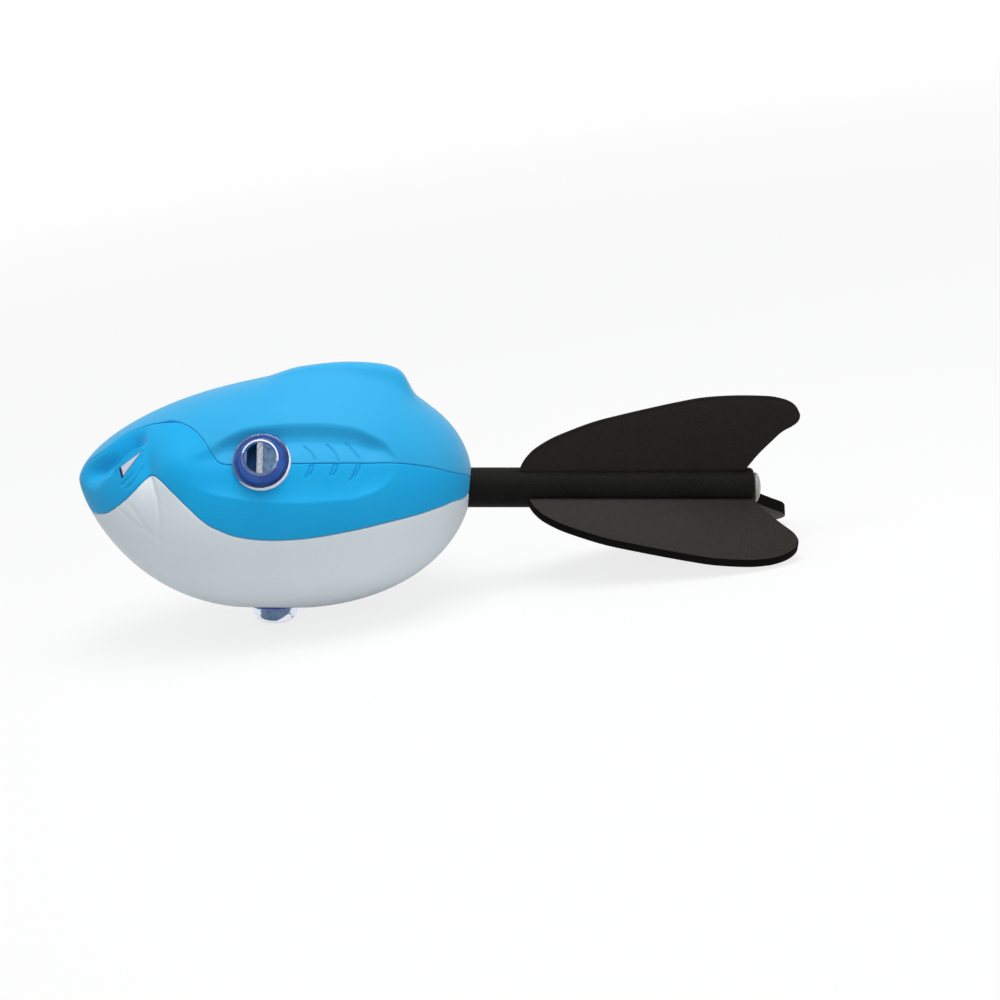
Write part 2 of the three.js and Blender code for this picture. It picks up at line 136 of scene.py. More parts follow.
SCOOP_LOW = [(46, 22), (57.7, 16.7), (67.2, 13.6), (78.5, 11.3), (89.6, 10.5), (108, 10.8),
             (113.6, 12.2), (117.3, 14), (121, 16.7), (123.5, 21), (125, 25.5), (127, 29)]
SPINE = [(60, 0), (66, 0.15), (73, 0.6), (79.3, 1.4), (85.9, 2.2), (95, 2.8), (103.5, 3.2),
         (112, 3.6), (119, 3.7), (124, 3.2), (128, 2.1), (132, 0.8), (137, 0)]
CREST = [(70, 0), (74, 0.15), (79.3, 0.8), (85.9, 1.7), (95, 2.65), (103.5, 3.55), (110, 4.1),
         (117.1, 4.9), (121, 5.4), (124.9, 5.8), (126.9, 5.2), (128.8, 3.1), (129.6, 2.1),
         (131.2, 0.7), (133, 0.1), (134.5, 0)]
GILLS = [
    [(90.5, 39.8), (92.2, 37.7), (94.2, 34.5), (95, 31.8)],
    [(99.3, 40.4), (101.2, 38.3), (103.1, 34.4), (104, 31)],
    [(106.8, 41.5), (108.9, 38.2), (110.7, 34.9), (112, 32.6)],
    [(93.4, 29.0), (93, 27), (91.6, 22.9)], [(94.6, 29.0), (94.2, 26.6), (93.2, 24)],
    [(102.3, 29.0), (101.9, 27.2), (100.9, 23)], [(103.6, 29.0), (103.2, 26.5), (102.2, 23.6)],
    [(111, 28.9), (110.6, 25.9), (108.4, 20.5)], [(112.3, 28.9), (111.9, 26), (110.4, 22.4)],
]


def smooth(value):
    value = np.clip(value, 0, 1)
    return value * value * (3 - 2 * value)


def along(table, x):
    """Smooth value of a table of (place, value) rows, level with its straight-line slopes."""
    places = np.array([row[0] for row in table], float)
    values = np.array([row[1] for row in table], float)
    steps = np.diff(values) / np.diff(places)
    slopes = np.zeros(len(table))
    same = steps[:-1] * steps[1:] > 0
    harmonic = 2 * steps[:-1] * steps[1:] / np.where(same, steps[:-1] + steps[1:], 1)
    slopes[1:-1] = np.where(same, harmonic, 0)
    slopes[0], slopes[-1] = steps[0], steps[-1]
    x = np.clip(x, places[0], places[-1])
    k = np.clip(np.searchsorted(places, x) - 1, 0, len(table) - 2)
    width = places[k + 1] - places[k]
    t = (x - places[k]) / width
    return ((1 + 2 * t) * (1 - t) ** 2 * values[k] + t * (1 - t) ** 2 * width * slopes[k]
            + t * t * (3 - 2 * t) * values[k + 1] + t * t * (t - 1) * width * slopes[k + 1])


def seam_angle(station):
    share = station / HEAD_LENGTH
    return np.where(share <= SEAM[0][0], 90, along(SEAM, share))


def edge_angle(station):
    share = station / HEAD_LENGTH
    return np.where(share <= BELLY_EDGE[0][0], -90, along(BELLY_EDGE, share))


def groove(station, angle, points, width):
    """1 on a drawn line on the skin, fading to 0 beside it and towards its ends."""
    degree = head_section(station)[1] * math.pi / 180
    deepest = np.zeros_like(station)
    for (s0, a0), (s1, a1) in zip(points, points[1:]):
        run, rise = (s1 - s0), (a1 - a0) * degree
        here = ((station - s0) * run + (angle - a0) * degree * rise) / (run ** 2 + rise ** 2)
        here = np.clip(here, 0, 1)
        away = np.hypot(station - s0 - here * run, (angle - a0) * degree - here * rise)
        deepest = np.maximum(deepest, np.exp(-(away / width) ** 2))
    return deepest


SCOOP_PROFILE = [(-1, 0), (-0.96, 0.05), (-0.88, 0.19), (-0.7, 0.4), (-0.45, 0.54), (0, 0.6),
                 (0.25, 0.76), (0.45, 0.93), (0.6, 1), (0.73, 0.87), (0.85, 0.5), (0.94, 0.14),
                 (1, 0)]
SCOOP_SPAN, SCOOP_MIDDLE, SCOOP_DEPTH = (46, 22, 127.5, 14), 29, 4.0
SPINE_WIDTH, CREST_WIDTH = 11, 4.6
GILL_WIDTH, GILL_DEPTH = 0.3, 0.6
DISH_PLACE, DISH_SPREAD, DISH_DEPTH = (75, -90), (17, 24), 1.3
DISH_EDGE = 1.35
BROW_LOW = [(2, -6), (8, 6), (13, 22), (16, 31), (19.1, 39), (21.4, 44), (23.8, 48), (27.4, 50),
            (34, 52)]
BROW_MIDDLE = [(2, 24), (8, 34), (11.4, 40), (15, 46), (19, 51), (23, 55), (27, 57), (34, 58)]
SNOUT_PROFILE = [(-1, 0), (-0.8, 0.06), (-0.5, 0.32), (-0.2, 0.75), (0, 0.95), (0.12, 1),
                 (0.35, 0.85), (0.6, 0.42), (0.82, 0.1), (1, 0)]
BROW_PROFILE = [(-1, 0), (-0.88, 0.12), (-0.7, 0.5), (-0.5, 0.85), (-0.3, 1), (-0.1, 0.99),
                (0.2, 0.86), (0.5, 0.52), (0.75, 0.2), (0.9, 0.04), (1, 0)]
BROW_SPAN, BROW_DEPTH = (1, 9, 31.5, 9), 4.9
LIDDED_START, LIDDED_LENGTH = 12, 5
EYELID = [(17.6, 35.5), (19.6, 40.2), (21.9, 45.3), (24.3, 48.7), (27.6, 50.4)]
EYE_FOLDS = [
    [(20.4, 22.2), (22.4, 25.8), (24.9, 30.5), (26.6, 36.5), (27.6, 43)],
    [(22.5, 19.6), (24.6, 23.7), (26.8, 29), (28.2, 35)],
]
LID_WIDTH, LID_HEIGHT = 0.8, 0.5
FOLD_WIDTH, FOLD_DEPTH = 0.5, 0.45
CHEEK_PLACE, CHEEK_SPREAD, CHEEK_HEIGHT = (42.5, 34), (8.5, 15), 2.6
VALLEY_PLACE, VALLEY_SPREAD, VALLEY_DEPTH = (31, 33), (3.6, 14), 1.7


def between(profile, angle, low, middle, high):
    """Value of a profile drawn from -1 at low through 0 at the middle to 1 at high."""
    place = np.where(angle > middle, (angle - middle) / np.maximum(high - middle, 0.5),
                     (angle - middle) / np.maximum(middle - low, 0.5))
    return along(profile, place)


def fade(station, start, rise, end, fall):
    """1 between start and end, with soft ends inside them as long as rise and fall."""
    return smooth((station - start) / rise) * smooth((end - station) / fall)


def swell(station, angle, place, spread):
    """1 at a place on the skin, given as a station and an angle, and less away from it."""
    return np.exp(-((station - place[0]) / spread[0]) ** 2
                  - ((angle - place[1]) / spread[1]) ** 2)


def head_relief(station, angle):
    """How far the skin sinks in at a station and an angle above level, on either side."""
    scoop = SCOOP_DEPTH * fade(station, *SCOOP_SPAN) * between(
        SCOOP_PROFILE, angle, along(SCOOP_LOW, station), SCOOP_MIDDLE, along(SCOOP_TOP, station))
    near = np.hypot((station - DISH_PLACE[0]) / DISH_SPREAD[0],
                    (angle - DISH_PLACE[1]) / DISH_SPREAD[1])
    dish = DISH_DEPTH * smooth(DISH_EDGE - near)
    edges = along(BROW_LOW, station), along(BROW_MIDDLE, station), seam_angle(station) - 1
    lidded = smooth((station - LIDDED_START) / LIDDED_LENGTH)
    brow = BROW_DEPTH * fade(station, *BROW_SPAN) * (
        lidded * between(BROW_PROFILE, angle, *edges)
        + (1 - lidded) * between(SNOUT_PROFILE, angle, *edges))
    lid = LID_HEIGHT * groove(station, angle, EYELID, LID_WIDTH)
    cheek = CHEEK_HEIGHT * swell(station, angle, CHEEK_PLACE, CHEEK_SPREAD)
    valley = VALLEY_DEPTH * swell(station, angle, VALLEY_PLACE, VALLEY_SPREAD)
    gills = GILL_DEPTH * sum(groove(station, angle, line, GILL_WIDTH) for line in GILLS)
    folds = FOLD_DEPTH * sum(groove(station, angle, line, FOLD_WIDTH) for line in EYE_FOLDS)
    return scoop + dish + brow - lid - cheek + valley + gills + folds


def head_skin(station, turn, relief):
    """Points of the moulded skin, from 90 at the crown down the left side to -90 and below."""
    def base(s, a):
        centre, half, width = head_section(s)
        a = np.radians(a)
        return np.stack([s, -width * np.cos(a), centre + half * np.sin(a)], -1)

    step = 0.02
    inner = np.clip(station, 0.05, HEAD_LENGTH - 0.05)
    run = base(inner + step, turn) - base(inner - step, turn)
    round_ = base(inner, turn + 1) - base(inner, turn - 1)
    normal = np.cross(run, round_)
    normal /= np.linalg.norm(normal, axis=-1, keepdims=True)
    angle = np.where(turn > 90, 180 - turn, turn)
    angle = np.where(angle < -90, -180 - angle, angle)
    points = base(station, turn) - normal * relief(station, angle)[..., None]
    aside = np.abs(points[..., 1])
    ridge = along(SPINE, station) / (1 + (aside / SPINE_WIDTH) ** 3.2)
    ridge += along(CREST, station) / (1 + (aside / CREST_WIDTH) ** 4.5)
    points[..., 2] += np.where(points[..., 2] > 0, ridge, 0)
    return points, normal


WEB_HEIGHT = 9.6


def web_edge(station, up):
    """Height of the joint at the tube's axis: the web between the cheeks holds the tube."""
    centre, half, _ = head_section(station)
    thin = np.clip(half / (2 * WEB_HEIGHT), 0, 1)
    return centre * (1 - thin) + up * (WEB_HEIGHT * thin)


def spaced(fine, density, count):
    """Places that part the fine ones into count steps, shorter where the density is greater."""
    total = np.concatenate([[0], np.cumsum((density[1:] + density[:-1]) / 2)])
    return np.interp(np.linspace(0, total[-1], count + 1), total, fine)


def stations(count):
    """Stations along the head, closer together where the skin has fine detail."""
    places = [0, 4, 9, 36, 48, 84, 90, 114, 120, 140, 150, 153]
    spacing = [0.12, 0.3, 0.45, 0.45, 0.62, 0.62, 0.34, 0.34, 0.62, 0.55, 0.3, 0.1]
    fine = np.linspace(0, HEAD_LENGTH, 4000)
    return spaced(fine, 1 / np.interp(fine, places, spacing), count)


COLUMNS = 330
SNOUT_SPAN, SNOUT_GAPE = (3, 3, 36, 4), 0.3
GAPE_MIDDLE, GAPE_SPREAD = 38, 3.2
JOINT_LIP = 0.45, 0.55, 0.3, 0.4


def gaping(station):
    """1 where the joint stands open beside the brow, a little all along the snout."""
    return (np.exp(-((station - GAPE_MIDDLE) / GAPE_SPREAD) ** 2)
            + SNOUT_GAPE * fade(station, *SNOUT_SPAN))


def foam_skin(low, high, row_places, lips, relief=head_relief):
    """Grid of skin between two joint lines, its edges rolled in by small lips.

    A lip is its depth and its radius, and how much more of both it has where the joint gapes.
    """
    rows = len(row_places) - 1
    bm = bmesh.new()
    bmesh.ops.create_grid(bm, x_segments=COLUMNS, y_segments=rows, size=0.5)
    bm.verts.ensure_lookup_table()
    flat = np.array([v.co[:2] for v in bm.verts]) + 0.5
    station = stations(COLUMNS)[np.rint(flat[:, 0] * COLUMNS).astype(int)]
    share = row_places[np.rint(flat[:, 1] * rows).astype(int)]
    start, end = low(station), high(station)
    turn = start + (end - start) * share
    points, normal = head_skin(station, turn, relief)
    degree = head_section(station)[1] * math.pi / 180
    for edge, (depth, radius, more_depth, more_radius) in zip((low, high), lips):
        slope = (edge(station + 0.3) - edge(station - 0.3)) / 0.6 * degree
        away = np.abs(turn - edge(station)) * degree / np.sqrt(1 + slope ** 2)
        inward = 1 - np.clip(away / (radius + more_radius * gaping(station)), 0, 1)
        # No lip where a joint line comes to the middle of the head
        parted = smooth(np.abs(np.abs(edge(station)) - 90) / 8)
        rolled = ((depth + more_depth * gaping(station)) * (1 - np.sqrt(1 - inward ** 2))
                  * parted)
        points -= normal * rolled[:, None]
    for vert, point in zip(bm.verts, points):
        vert.co = point
    return bm


def face_out(bm):
    bmesh.ops.recalc_face_normals(bm, faces=bm.faces)
    if bm.calc_volume(signed=True) < 0:
        bmesh.ops.reverse_faces(bm, faces=bm.faces)


def linked_object(name, bm):
    mesh = bpy.data.meshes.new(name)
    bm.to_mesh(mesh)
    bm.free()
    linked = bpy.data.objects.new(name, mesh)
    bpy.context.collection.objects.link(linked)
    return linked


def placed_object(name, bm):
    """Object of a finished mesh in the toy's own axes, placed as the toy rests."""
    face_out(bm)
    bm.transform(toy_scale)
    return linked_object(name, bm)


SHARP_ANGLE = 40
MERGE = 1e-4


def in_scene(name, bm, slot, *materials, sharp_angle=SHARP_ANGLE):
    """Piece in its materials, smooth but for its sharp edges, riding on the toy's one body."""
    piece = placed_object(name, bm)
    piece.data.set_sharp_from_angle(angle=math.radians(sharp_angle))
    piece.data.polygons.foreach_set("use_smooth", [True] * len(piece.data.polygons))
    for material in materials:
        piece.data.materials.append(material)
    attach(piece, "root")
    return piece


def verts_of(grown):
    return [part for part in grown["geom"] if isinstance(part, bmesh.types.BMVert)]


def close_to_web(bm, hub_height, on_plane=False):
    """Walls from the open edges of a skin in to the web, which close the piece."""
    edges = [e for e in bm.edges if e.is_boundary
             and not (on_plane and all(abs(v.co.y) < 1e-5 for v in e.verts))]
    for vert in verts_of(bmesh.ops.extrude_edge_only(bm, edges=edges)):
        vert.co = (vert.co.x, 0, hub_height(vert))
    bmesh.ops.remove_doubles(bm, verts=bm.verts, dist=MERGE)


def trim_front(bm, share):
    """Takes off the skin ahead of where its joint line starts, and merges its seam."""
    front = [v for v in bm.verts if v.co.x < share * HEAD_LENGTH]
    bmesh.ops.delete(bm, geom=front, context="VERTS")
    bmesh.ops.remove_doubles(bm, verts=bm.verts, dist=MERGE)


def add_spun(bm, profile, steps=72):
    """Adds a profile of (radius, height) rows turned about +Z, and returns its vertices."""
    older = set(bm.verts)
    line = [bm.verts.new((r, 0, z)) for r, z in profile]
    edges = [bm.edges.new(pair) for pair in zip(line, line[1:])]
    bmesh.ops.spin(bm, geom=line + edges, axis=(0, 0, 1), cent=(0, 0, 0), steps=steps,
                   angle=math.tau, use_merge=True)
    fresh = [v for v in bm.verts if v not in older]
    bmesh.ops.remove_doubles(bm, verts=fresh, dist=MERGE)
    return [v for v in bm.verts if v not in older]


WHISTLE_POCKET = [(0, -17.0), (9.75, -17.0), (9.75, -0.3), (11.1, -0.3), (11.1, 40), (0, 40)]
TAIL_BORE = [(0, 0), (5.4, 0), (5.4, 40), (8.05, 40), (8.05, 75), (0, 75)]
TAIL_BORE_START = 93


def cut_pockets(piece, pockets):
    """Cuts whistle pockets and the bore for the tail out of a head piece, as closed shells."""
    bm = bmesh.new()
    for profile, place in pockets:
        bmesh.ops.transform(bm, matrix=place, verts=add_spun(bm, profile))
    cutter = placed_object(piece.name + "_cutter", bm)
    cut = piece.modifiers.new("pockets", "BOOLEAN")
    cut.object, cut.operation, cut.solver = cutter, "DIFFERENCE", "MANIFOLD"
    graph = bpy.context.evaluated_depsgraph_get()
    mesh = bpy.data.meshes.new_from_object(piece.evaluated_get(graph))
    piece.modifiers.clear()
    old, piece.data = piece.data, mesh
    bpy.data.meshes.remove(old)
    mesh.name = piece.name
    mesh.set_sharp_from_angle(angle=math.radians(SHARP_ANGLE))
    bpy.data.meshes.remove(cutter.data)


def whistle_place(angle, seat):
    """Where a whistle stands: its own +Z out of the head, its own X along the toy."""
    turn = Matrix.Rotation(math.radians(angle - 90), 4, "X")
    return (Matrix.Translation((WHISTLE_SHARE * HEAD_LENGTH, 0, 0)) @ turn
            @ Matrix.Translation((0, 0, seat)))


WHISTLES = {
    "left": whistle_place(180 - SIDE_ANGLE, side_seat),
    "right": whistle_place(SIDE_ANGLE, side_seat),
    "belly": whistle_place(BELLY_ANGLE, belly_seat),
}
to_tail = Matrix.Rotation(math.pi / 2, 4, "Y")
tail_bore = TAIL_BORE, Matrix.Translation((TAIL_BORE_START, 0, 0)) @ to_tail
side_pockets = [(WHISTLE_POCKET, WHISTLES["left"]), (WHISTLE_POCKET, WHISTLES["right"]),
                tail_bore]


def set_inputs(made, inputs):
    """Sets plain numbers and colours on a node's own sockets."""
    for socket, value in inputs.items():
        made.inputs[socket].default_value = value


def node(tree, kind, place=(0, 0), inputs=(), **settings):
    made = tree.nodes.new(kind)
    made.location = place
    for key, value in settings.items():
        setattr(made, key, value)
    set_inputs(made, dict(inputs))
    return made


def value_map(tree, source, low, high, to_low, to_high, place=(0, 0)):
    ranged = node(tree, "ShaderNodeMapRange", place, clamp=True)
    for socket, value in zip(ranged.inputs[1:5], (low, high, to_low, to_high)):
        socket.default_value = value
    tree.links.new(source, ranged.inputs[0])
    return ranged.outputs[0]


def tint(tree, mask, first, second, place=(0, 0)):
    """Colour that turns from first to second where the mask is 1."""
    mix = node(tree, "ShaderNodeMix", place, data_type="RGBA")
    tree.links.new(mask, mix.inputs[0])
    for socket, colour in ((mix.inputs[6], first), (mix.inputs[7], second)):
        if isinstance(colour, bpy.types.NodeSocket):
            tree.links.new(colour, socket)
        else:
            socket.default_value = (*colour, 1)
    return mix.outputs[2]


def skin_grain_group():
    """Moulded foam skin: broad clouding, fine grain and tiny pits, as masks and a height."""
    group = bpy.data.node_groups.new("foam_skin_grain", "ShaderNodeTree")
    face = group.interface
    for name, start in (("Grain Scale", 1600.0), ("Pit Amount", 0.5)):
        face.new_socket(name, in_out="INPUT", socket_type="NodeSocketFloat").default_value = start
    for name in ("Clouding", "Grain", "Pits", "Height"):
        face.new_socket(name, in_out="OUTPUT", socket_type="NodeSocketFloat")
    put_in = node(group, "NodeGroupInput", (-900, 0))
    out = node(group, "NodeGroupOutput", (500, 0))
    where = node(group, "ShaderNodeTexCoord", (-900, -300)).outputs["Object"]
    cloud = node(group, "ShaderNodeTexNoise", (-600, 300), {"Scale": 55, "Detail": 3})
    grain = node(group, "ShaderNodeTexNoise", (-600, 0), {"Detail": 3})
    pits = node(group, "ShaderNodeTexVoronoi", (-600, -300))
    pit_scale = node(group, "ShaderNodeMath", (-750, -350), {1: 0.45}, operation="MULTIPLY")
    for texture in (cloud, grain, pits):
        group.links.new(where, texture.inputs["Vector"])
    group.links.new(put_in.outputs["Grain Scale"], grain.inputs["Scale"])
    group.links.new(put_in.outputs["Grain Scale"], pit_scale.inputs[0])
    group.links.new(pit_scale.outputs[0], pits.inputs["Scale"])
    cloud_mask = value_map(group, cloud.outputs["Fac"], 0.3, 0.7, 0, 1, (-300, 300))
    pit_mask = value_map(group, pits.outputs["Distance"], 0.1, 0.24, 1, 0, (-300, -300))
    pit_depth = node(group, "ShaderNodeMath", (-100, -300), operation="MULTIPLY")
    group.links.new(pit_mask, pit_depth.inputs[0])
    group.links.new(put_in.outputs["Pit Amount"], pit_depth.inputs[1])
    height = node(group, "ShaderNodeMath", (100, -100), operation="SUBTRACT")
    group.links.new(grain.outputs["Fac"], height.inputs[0])
    group.links.new(pit_depth.outputs[0], height.inputs[1])
    group.links.new(cloud_mask, out.inputs["Clouding"])
    group.links.new(grain.outputs["Fac"], out.inputs["Grain"])
    group.links.new(pit_depth.outputs[0], out.inputs["Pits"])
    group.links.new(height.outputs[0], out.inputs["Height"])
    return group


foam_grain = skin_grain_group()


def new_material(name):
    material = bpy.data.materials.new(name)
    material.use_nodes = True
    return material, material.node_tree, material.node_tree.nodes["Principled BSDF"]


def grained(tree, surface, mask, smoothest, roughest, height, strength, distance):
    """A gloss that varies over a mask, and a shallow bump."""
    gloss = value_map(tree, mask, 0.3, 0.7, smoothest, roughest, (-450, -50))
    tree.links.new(gloss, surface.inputs["Roughness"])
    relief = node(tree, "ShaderNodeBump", (-250, -250),
                  {"Strength": strength, "Distance": distance})
    tree.links.new(height, relief.inputs["Height"])
    tree.links.new(relief.outputs["Normal"], surface.inputs["Normal"])


def foam_material(name, colours, roughness, grain_scale, pit_amount, bump, finish):
    """Foam: its colour, clouding and pits, a matt skin, a fine grain, and other plain inputs."""
    colour, cloud_colour, pit_colour = colours
    material, tree, surface = new_material(name)
    grain = node(tree, "ShaderNodeGroup", (-700, 0), node_tree=foam_grain)
    set_inputs(grain, {"Grain Scale": grain_scale, "Pit Amount": pit_amount})
    clouded = tint(tree, grain.outputs["Clouding"], colour, cloud_colour, (-450, 200))
    pitted = tint(tree, grain.outputs["Pits"], clouded, pit_colour, (-250, 200))
    tree.links.new(pitted, surface.inputs["Base Color"])
    grained(tree, surface, grain.outputs["Grain"], roughness - 0.07, roughness + 0.07,
            grain.outputs["Height"], strength=bump, distance=0.0002)
    set_inputs(surface, {"IOR": 1.42, **finish})
    return material, tree, surface, pitted


FOAM_SHEEN = (1.0, 0.95, 0.75, 1)
# The crown's blue has more red and less blue than the cheeks': a paler tone painted on the top,
# where the light falls.
crown_skin_painted_paler, *_ = foam_material(
    "blue_foam_skin", [(0.022, 0.41, 0.78), (0.026, 0.425, 0.79), (0.015, 0.355, 0.71)],
    roughness=0.48, grain_scale=1800, pit_amount=0.35, bump=0.25,
    finish={"Specular IOR Level": 0.14, "Sheen Weight": 0.25, "Sheen Tint": FOAM_SHEEN})


def clustered(count, centre_weight):
    """Row places from 0 to 1, closer at both edges and by centre_weight in the middle."""
    t = np.linspace(0, 1, 2001)
    density = (1 + 5 * np.exp(-t / 0.012) + 5 * np.exp(-(1 - t) / 0.012)
               + 0.9 * np.exp(-(t / 0.16) ** 2) + 0.9 * np.exp(-((1 - t) / 0.16) ** 2)
               + centre_weight * np.exp(-((t - 0.5) / 0.1) ** 2))
    return spaced(t, density, count)


JOINT_SLIT, JOINT_GAPE, JOINT_GAP = 0.2, 0.9, 0.15
bm = foam_skin(lambda s: seam_angle(s) + JOINT_SLIT * (s > 1) + JOINT_GAPE * gaping(s),
               lambda s: 180 - seam_angle(s) - JOINT_SLIT * (s > 1) - JOINT_GAPE * gaping(s),
               clustered(220, 1.6), (JOINT_LIP, JOINT_LIP))
trim_front(bm, SEAM[0][0])
close_to_web(bm, lambda v: float(web_edge(np.float64(v.co.x), 1)) + JOINT_GAP)
head_crown = in_scene("head_crown_skin", bm, "blue_foam", crown_skin_painted_paler)
cut_pockets(head_crown, side_pockets)
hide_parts("head_crown")

# Head cheeks: both sides of the head in one moulding, joined round the snout, in the same blue
# skinned foam. Its lower edge is a crisp lip that stands a little proud of the white belly.
# The eyes are sprayed on it, in sockets under a moulded brow, with a band of painted
# shade along each eye's upper and rear edges.
CHEEK_LIP = 0.5, 0.6, 0, 0
EYE = [(19.1, -20.7, 14.0), (28.3, -21.4, 20.8), (20.4, -23.7, 10.7)]
EYE_BLUR = 0.16
# Layers of the eye, each with its insets from the upper, rear and front edges, its blur at the
# front and its colour: a dark blue band of painted shade along the upper and rear edges, then the
# sprayed black pupil and white.
EYE_PAINT_AND_SHADE = [
    ((-0.1, -0.15, 0), EYE_BLUR, (0.008, 0.12, 0.36)),
    ((0.4, -0.1, -0.1), 0.1, (0.004, 0.008, 0.03)),
    ((0.1, 0.1, 0.85), 0.1, (0.62, 0.68, 0.80)),
]
cheek_skin, tree, surface, colour = foam_material(
    "blue_foam_skin_with_eyes", [(0.010, 0.41, 0.82), (0.012, 0.425, 0.83), (0.006, 0.355, 0.76)],
    roughness=0.48, grain_scale=1800, pit_amount=0.35, bump=0.25,
    finish={"Specular IOR Level": 0.12, "Sheen Weight": 0.08, "Sheen Tint": FOAM_SHEEN})
where = node(tree, "ShaderNodeTexCoord", (-1500, 600)).outputs["Object"]
own_axes = node(tree, "ShaderNodeMapping", (-1300, 600),
                {"Location": toy_place.translation, "Rotation": (0, lean, 0),
                 "Scale": (MM, MM, MM)}, vector_type="TEXTURE")
tree.links.new(where, own_axes.inputs["Vector"])
parts = node(tree, "ShaderNodeSeparateXYZ", (-1100, 600))
tree.links.new(own_axes.outputs["Vector"], parts.inputs[0])
folded = node(tree, "ShaderNodeMath", (-1100, 400), operation="ABSOLUTE")
tree.links.new(parts.outputs["Y"], folded.inputs[0])
left = node(tree, "ShaderNodeMath", (-950, 400), {1: -1}, operation="MULTIPLY")
tree.links.new(folded.outputs[0], left.inputs[0])
near_side = node(tree, "ShaderNodeCombineXYZ", (-800, 600))
tree.links.new(parts.outputs["X"], near_side.inputs["X"])
tree.links.new(left.outputs[0], near_side.inputs["Y"])
tree.links.new(parts.outputs["Z"], near_side.inputs["Z"])


def inside_line(first, second, inset, blur):
    """Mask of the side of an edge of the eye that the rest of the eye is on."""
    first, second = Vector(first), Vector(second)
    across = (second - first).cross(-back).normalized()
    middle = sum((Vector(corner) for corner in EYE), Vector()) / 3
    if (middle - first).dot(across) < 0:
        across.negate()
    height = node(tree, "ShaderNodeVectorMath", inputs={1: across}, operation="DOT_PRODUCT")
    tree.links.new(near_side.outputs[0], height.inputs[0])
    level = first.dot(across) + inset
    return value_map(tree, height.outputs["Value"], level - blur, level + blur, 0, 1)


def within(*masks):
    joined = masks[0]
    for mask in masks[1:]:
        both = node(tree, "ShaderNodeMath", operation="MINIMUM")
        tree.links.new(joined, both.inputs[0])
        tree.links.new(mask, both.inputs[1])
        joined = both.outputs[0]
    return joined


brow_end, rear_end, low_end = EYE
for (brow_inset, under_inset, front_inset), front_blur, layer_colour in EYE_PAINT_AND_SHADE:
    mask = within(inside_line(brow_end, rear_end, brow_inset, EYE_BLUR),
                  inside_line(rear_end, low_end, under_inset, EYE_BLUR),
                  inside_line(low_end, brow_end, front_inset, front_blur))
    colour = tint(tree, mask, colour, layer_colour)
tree.links.new(colour, surface.inputs["Base Color"])

bm = foam_skin(edge_angle, seam_angle, clustered(100, 0), (CHEEK_LIP, JOINT_LIP))
for vert in bm.verts:
    if abs(vert.co.y) < 1e-3:
        vert.co.y = 0
bmesh.ops.remove_doubles(bm, verts=bm.verts, dist=MERGE)


def cheek_web(vert):
    """The web's upper edge for the upper joint line, its lower edge for the lower one."""
    station = np.float64(vert.co.x)
    centre, half, _ = head_section(station)
    middle = math.radians(float(edge_angle(station) + seam_angle(station)) / 2)
    upper = vert.co.z > float(centre) + float(half) * math.sin(middle)
    return float(web_edge(station, 1 if upper else -1))


close_to_web(bm, cheek_web, on_plane=True)
whole = bm.verts[:] + bm.edges[:] + bm.faces[:]
bmesh.ops.mirror(bm, geom=whole, matrix=Matrix.Identity(4), merge_dist=MERGE, axis="Y")
head_cheeks = in_scene("head_cheeks_skin", bm, "blue_foam", cheek_skin)
cut_pockets(head_cheeks, side_pockets)
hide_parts("head_cheeks")

# Head belly: the lower part of the head, white foam with the same moulded skin, tucked under
# the blue lip. A soft crease runs down from the corner of the mouth, with two fainter ones in
# front of it.
white_skin, *_ = foam_material(
    "white_foam_skin", [(0.80, 0.88, 0.92), (0.83, 0.90, 0.93), (0.67, 0.74, 0.77)],
    roughness=0.55, grain_scale=1800, pit_amount=0.3, bump=0.22,
    finish={"Specular IOR Level": 0.2})
BELLY_LIP = 0.6, 0.8, 0, 0
MOUTH_CREASE = [(32.4, 27), (33.9, 20), (35.1, 14), (35.7, 2), (34.8, -11.6)]
SIDE_CREASES = [
    [(19.6, 1), (23.7, -4), (29.7, -7.4), (33.7, -10)],
    [(23.9, 7.7), (27.6, -0.5), (32.5, -9.3)],
]
MOUTH_DEPTH, MOUTH_WIDTH, SIDE_DEPTH, SIDE_WIDTH = 0.45, 0.9, 0.3, 0.6
BELLY_SLIT = 0.35


def creased(station, angle):
    """The head's relief with the soft creases at the corner of the mouth."""
    mouth = MOUTH_DEPTH * groove(station, angle, MOUTH_CREASE, MOUTH_WIDTH)
    sides = SIDE_DEPTH * sum(groove(station, angle, line, SIDE_WIDTH) for line in SIDE_CREASES)
    return head_relief(station, angle) + mouth + sides


def belly_edge(station):
    """The belly's edge, a slit below the lower edge of the cheeks."""
    return edge_angle(station) - BELLY_SLIT


bm = foam_skin(lambda s: -180 - belly_edge(s), belly_edge, clustered(150, 0),
               (BELLY_LIP, BELLY_LIP), creased)
trim_front(bm, BELLY_EDGE[0][0])
close_to_web(bm, lambda v: float(web_edge(np.float64(v.co.x), -1)) - JOINT_GAP)
head_belly = in_scene("head_belly_skin", bm, "white_foam", white_skin)
cut_pockets(head_belly, [(WHISTLE_POCKET, WHISTLES["belly"]), tail_bore])
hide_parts("head_belly")

# Whistles, one each side and one in the belly: a clear acrylic dome with a window, with a
# painted highlight along one side of its flange's edge and along part of its window's edge, an
# insert with the blowing slot, painted shade deep in the slot, and behind it a cup, the sound
# chamber. They are pressed together and glued into pockets in the foam, with the flange of the
# dome on top.


